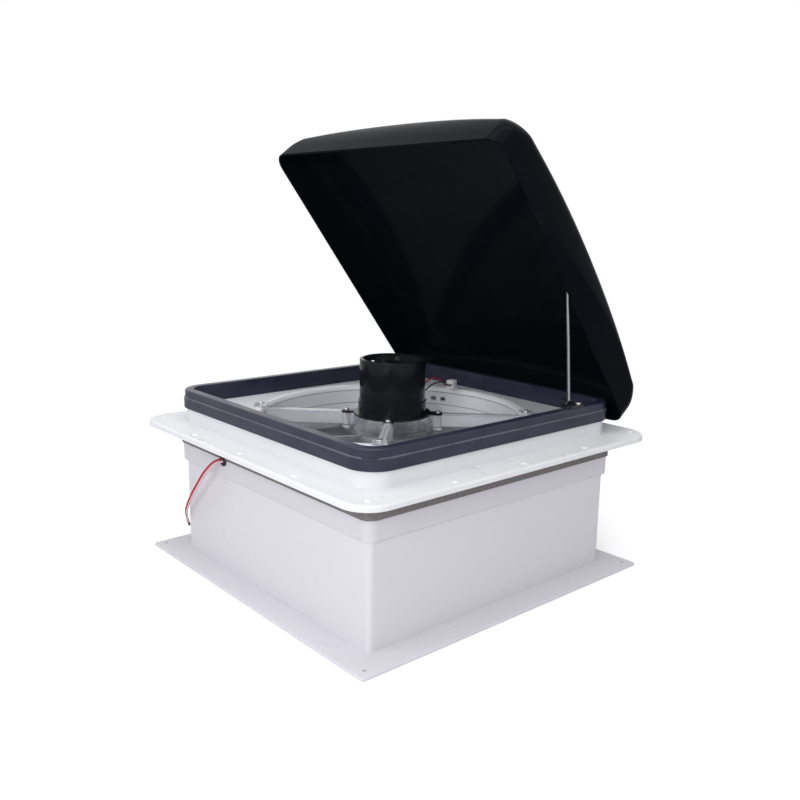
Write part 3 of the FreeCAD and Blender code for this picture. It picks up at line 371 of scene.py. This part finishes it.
# Dull finishes: colour, second colour, noise scale, roughness, relief and, for foam, its own scale
DULL_FINISHES = {
    "black_plastic": ((0.012, 0.012, 0.015), (0.03, 0.03, 0.036), 120.0, 0.42, 0.15),
    "magnet": ((0.05, 0.05, 0.055), (0.09, 0.09, 0.10), 200.0, 0.6, 0.2),
    "iron_core": ((0.20, 0.18, 0.17), (0.10, 0.09, 0.09), 150.0, 0.5, 0.2),
    "carbon": ((0.02, 0.02, 0.02), (0.035, 0.035, 0.035), 300.0, 0.7, 0.2),
    "foam": ((0.22, 0.20, 0.20), (0.15, 0.135, 0.135), 260.0, 0.95, 0.5, 1400.0),
    "black_rubber": ((0.02, 0.02, 0.022), (0.04, 0.04, 0.042), 200.0, 0.7, 0.2),
    "wire_red": ((0.50, 0.035, 0.07), (0.38, 0.02, 0.05), 180.0, 0.38, 0.08),
    "wire_white": ((0.80, 0.52, 0.57), (0.70, 0.44, 0.49), 180.0, 0.38, 0.08),
    "wire_black": ((0.015, 0.013, 0.015), (0.03, 0.028, 0.03), 180.0, 0.38, 0.08),
}

# Metals: colour and roughness
METALS = {
    "steel": ((0.62, 0.62, 0.64), 0.22),
    "bearing_steel": ((0.55, 0.55, 0.57), 0.30),
    "copper": ((0.72, 0.38, 0.22), 0.35),
}


def make_finishes():
    """One material for each slot of the record."""
    finishes = {
        "white_plastic": white_moulding("white_plastic", (0.74, 0.73, 0.78)),
        "deck_plastic": white_moulding("deck_plastic", (0.75, 0.76, 0.81)),
        "plug_white": white_moulding("plug_white", (0.93, 0.94, 0.97)),
        "rim_plastic": rim_moulding(),
        "lid_gloss": lid_gloss(),
        "clear_plastic": clear_plastic("clear_plastic", (0.93, 0.95, 1.0), 0.03, 0.65, 0.85,
                                       ARM_SHADE_LINES, HUB_EDGE),
        "smoke_plastic": clear_plastic("smoke_plastic", (0.62, 0.64, 0.68), 0.06, 0.5, 0.7),
        "motor_black": black_paint("motor_black", (0.011, 0.012, 0.015), 0.09),
    }
    for name, values in METALS.items():
        finishes[name] = metal(name, *values)
    for name, values in DULL_FINISHES.items():
        finishes[name] = dull(name, *values)
    return finishes


def dress_nodes(finishes):
    """Give each carried-over CAD node its slot's finish; a few have their own shade of it."""
    slots = {row["node"]: row["material_slot"] for row in frame["record"]["subparts"]}
    own = {
        # roof_base gets painted shade below its flange
        "roof_base": white_moulding("roof_white", (0.82, 0.83, 0.86), flange_shade=(0.68, 0.67, 0.72)),
        "shroud_ring": clear_plastic("shroud_clear", (0.93, 0.95, 1.0), 0.06, 0.0, 0.92,
                                     SHROUD_SHADE_LINES),
        "stay_rod": metal("rod_steel", (0.34, 0.35, 0.38), 0.20),
    }
    for name, thing in NODES.items():
        finish = own.get(name, finishes[slots[name]])
        if not thing.material_slots:
            thing.data.materials.append(finish)
        for slot in thing.material_slots:
            slot.material = finish


# Supply leads: the route of the part's own red wire, in metres; the white one runs beside it
SUPPLY_ROUTE = [
    (-0.0785, -0.1810, 0.1345),
    (-0.0796, -0.1893, 0.1340),
    (-0.0854, -0.1952, 0.1254),
    (-0.0958, -0.1964, 0.1152),
    (-0.1101, -0.1958, 0.1006),
    (-0.1300, -0.1935, 0.0822),
    (-0.1495, -0.1895, 0.0638),
    (-0.1706, -0.1815, 0.0462),
    (-0.1901, -0.1690, 0.0288),
]
SUPPLY_OFFSET = 3.3 * MM
SUPPLY_RADIUS = 1.2 * MM


def wire(name, route, radius, finish):
    """Round wire on one smooth line through its route."""
    curve = bpy.data.curves.new(name, "CURVE")
    curve.dimensions = "3D"
    spline = curve.splines.new("NURBS")
    spline.points.add(len(route) - 1)
    for point, place in zip(spline.points, route):
        point.co = (*place, 1.0)
    spline.order_u = 3
    spline.use_endpoint_u = True
    curve.resolution_u = 16
    curve.bevel_depth = radius
    curve.bevel_resolution = 5
    curve.use_fill_caps = True
    curve.materials.append(finish)
    thing = bpy.data.objects.new(name, curve)
    bpy.context.collection.objects.link(thing)
    return thing


def supply_leads(finishes):
    """Red and white supply wires, in place of the part's own leads, which are hidden."""
    shift = SUPPLY_OFFSET * math.sqrt(0.5)
    for index, colour in enumerate(("red", "white")):
        route = [(x + shift * index, y, z - shift * index) for x, y, z in SUPPLY_ROUTE]
        lead = wire("supply_wire_" + colour, route, SUPPLY_RADIUS, finishes["wire_" + colour])
        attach(lead, "root")
        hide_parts("supply_lead_" + colour)


def make_stage():
    """Pale floor that keeps a soft shadow near the object and turns white further out."""
    bpy.ops.mesh.primitive_plane_add(size=FLOOR_SIZE, location=(0, 0, -FLOOR_DROP))
    floor = bpy.context.object
    floor.name = "floor"
    mat = bpy.data.materials.new("floor")
    mat.use_nodes = True
    tree = mat.node_tree
    shader = tree.nodes["Principled BSDF"]
    shader.inputs["Base Color"].default_value = FLOOR_COLOUR
    shader.inputs["Roughness"].default_value = 0.9
    shader.inputs["Specular IOR Level"].default_value = 0.1
    path = tree.nodes.new("ShaderNodeLightPath")
    glow = tree.nodes.new("ShaderNodeMath")
    glow.operation = "MULTIPLY"
    glow.inputs[1].default_value = FLOOR_GLOW
    tree.links.new(path.outputs["Is Camera Ray"], glow.inputs[0])
    shader.inputs["Emission Color"].default_value = (1, 1, 1, 1)
    tree.links.new(glow.outputs[0], shader.inputs["Emission Strength"])
    far = tree.nodes.new("ShaderNodeVectorMath")
    far.operation = "LENGTH"
    tree.links.new(tree.nodes.new("ShaderNodeTexCoord").outputs["Object"], far.inputs[0])
    fade = tree.nodes.new("ShaderNodeMapRange")
    fade.inputs["From Min"].default_value = FLOOR_FADE[0]
    fade.inputs["From Max"].default_value = FLOOR_FADE[1]
    tree.links.new(far.outputs["Value"], fade.inputs["Value"])
    seen = tree.nodes.new("ShaderNodeMath")
    seen.operation = "MULTIPLY"
    tree.links.new(fade.outputs["Result"], seen.inputs[0])
    tree.links.new(path.outputs["Is Camera Ray"], seen.inputs[1])
    white = tree.nodes.new("ShaderNodeEmission")
    blend = tree.nodes.new("ShaderNodeMixShader")
    tree.links.new(seen.outputs[0], blend.inputs["Fac"])
    tree.links.new(shader.outputs["BSDF"], blend.inputs[1])
    tree.links.new(white.outputs["Emission"], blend.inputs[2])
    tree.links.new(blend.outputs["Shader"], tree.nodes["Material Output"].inputs["Surface"])
    floor.data.materials.append(mat)


def make_world():
    """Dim soft light all round; white where the camera, glass or gloss looks past the floor."""
    world = bpy.data.worlds.new("world")
    bpy.context.scene.world = world
    world.use_nodes = True
    tree = world.node_tree
    background = tree.nodes["Background"]
    background.inputs["Color"].default_value = (1.0, 1.0, 1.0, 1.0)
    path = tree.nodes.new("ShaderNodeLightPath")
    sharp = tree.nodes.new("ShaderNodeMath")
    sharp.operation = "MAXIMUM"
    tree.links.new(path.outputs["Is Glossy Ray"], sharp.inputs[0])
    tree.links.new(path.outputs["Is Transmission Ray"], sharp.inputs[1])
    either = tree.nodes.new("ShaderNodeMath")
    either.operation = "MAXIMUM"
    tree.links.new(path.outputs["Is Camera Ray"], either.inputs[0])
    tree.links.new(sharp.outputs[0], either.inputs[1])
    strength = tree.nodes.new("ShaderNodeMapRange")
    strength.inputs["To Min"].default_value = MATT_LIGHT
    strength.inputs["To Max"].default_value = SEEN_LIGHT
    tree.links.new(either.outputs[0], strength.inputs["Value"])
    tree.links.new(strength.outputs["Result"], background.inputs["Strength"])


def make_lights():
    """Large soft lamps above, at the front left and at the right, and a smaller one in front."""
    for name, place, target, size, power in LAMPS:
        data = bpy.data.lights.new(name, "AREA")
        data.shape = "SQUARE"
        data.size = size
        data.energy = power
        lamp = bpy.data.objects.new(name, data)
        bpy.context.collection.objects.link(lamp)
        lamp.location = place
        toward = Vector(target) - Vector(place)
        lamp.rotation_euler = toward.to_track_quat("-Z", "Y").to_euler()


def main():
    bpy.context.scene.view_settings.view_transform = "Standard"
    make_camera()
    finishes = make_finishes()
    dress_nodes(finishes)
    supply_leads(finishes)
    make_stage()
    make_world()
    make_lights()


main()
